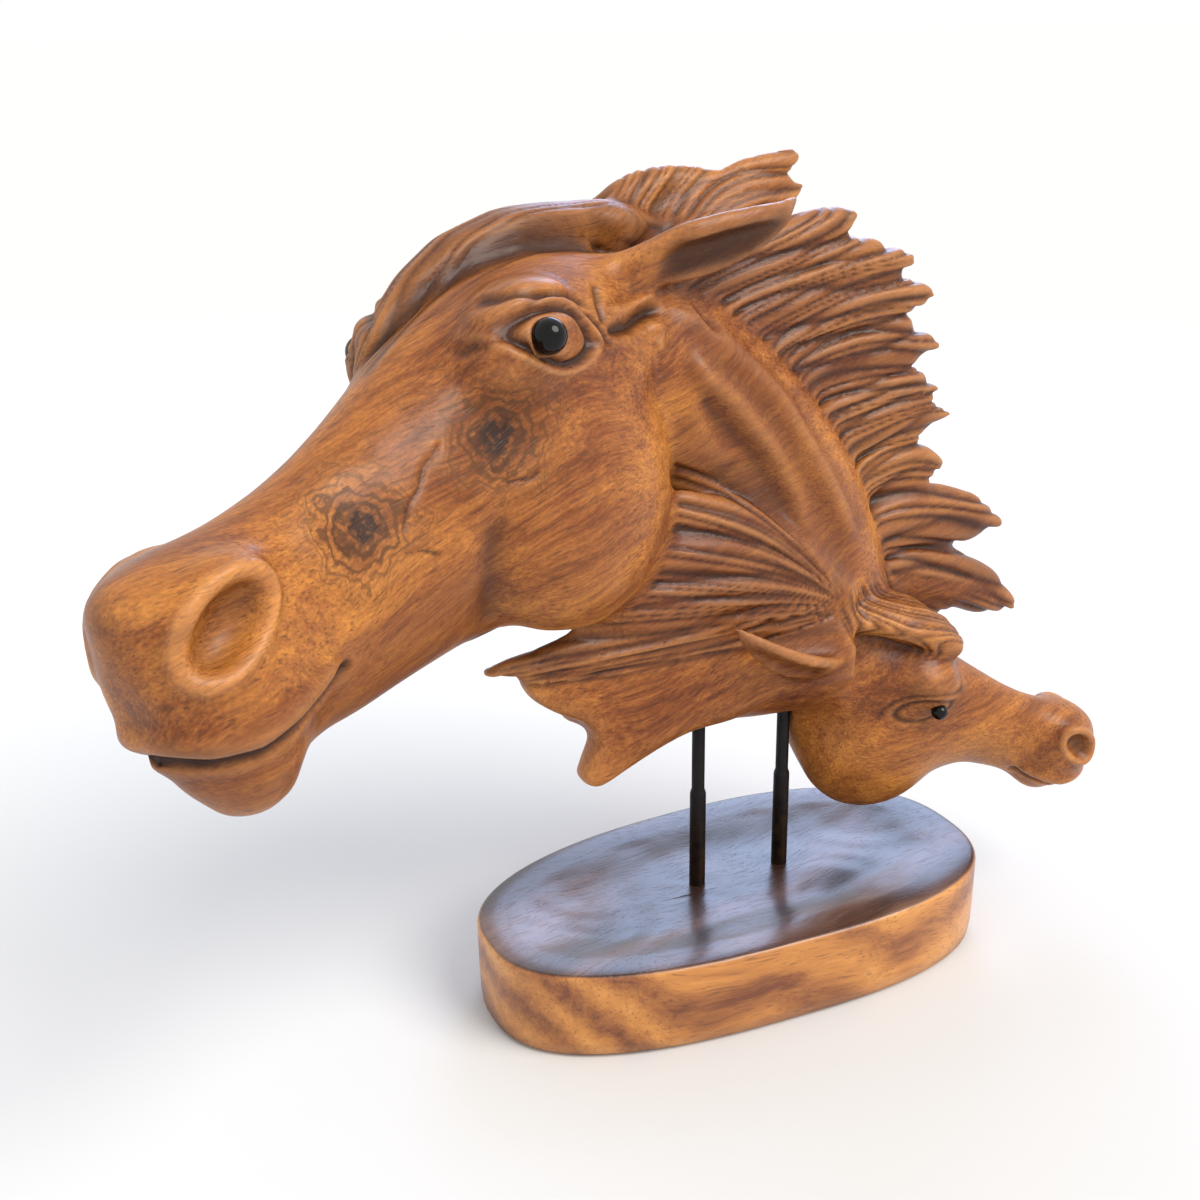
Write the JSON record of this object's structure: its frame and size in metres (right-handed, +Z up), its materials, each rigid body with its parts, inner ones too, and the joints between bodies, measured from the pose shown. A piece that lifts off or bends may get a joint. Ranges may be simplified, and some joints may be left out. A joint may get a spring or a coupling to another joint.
{
  "type": "carved wooden horse head sculpture",
  "caption": "Carved hardwood head of a mare with a flowing mane above a foal's head, held over an oval wooden base by steel rods.",
  "frame": {"origin": "centre of the base's underside", "axes": "+X along the base's long axis, towards the foal's muzzle; -Y is the front; +Z up"},
  "size_m": [0.5741, 0.2648, 0.442],
  "materials": {
    "carved_hardwood": "stained and lacquered, semi-gloss",
    "base_hardwood": "polished, gloss top",
    "blackened_steel": "blackened",
    "black_glass": "polished opaque black glass"
  },
  "bodies": {
    "root": {"carved_mare_and_foal": "carved_hardwood", "oval_base": "base_hardwood", "support_rod_left": "blackened_steel", "support_rod_right": "blackened_steel", "mare_eye_left": "black_glass", "mare_eye_right": "black_glass", "foal_eye_left": "black_glass", "foal_eye_right": "black_glass"}
  },
  "joints": []
}
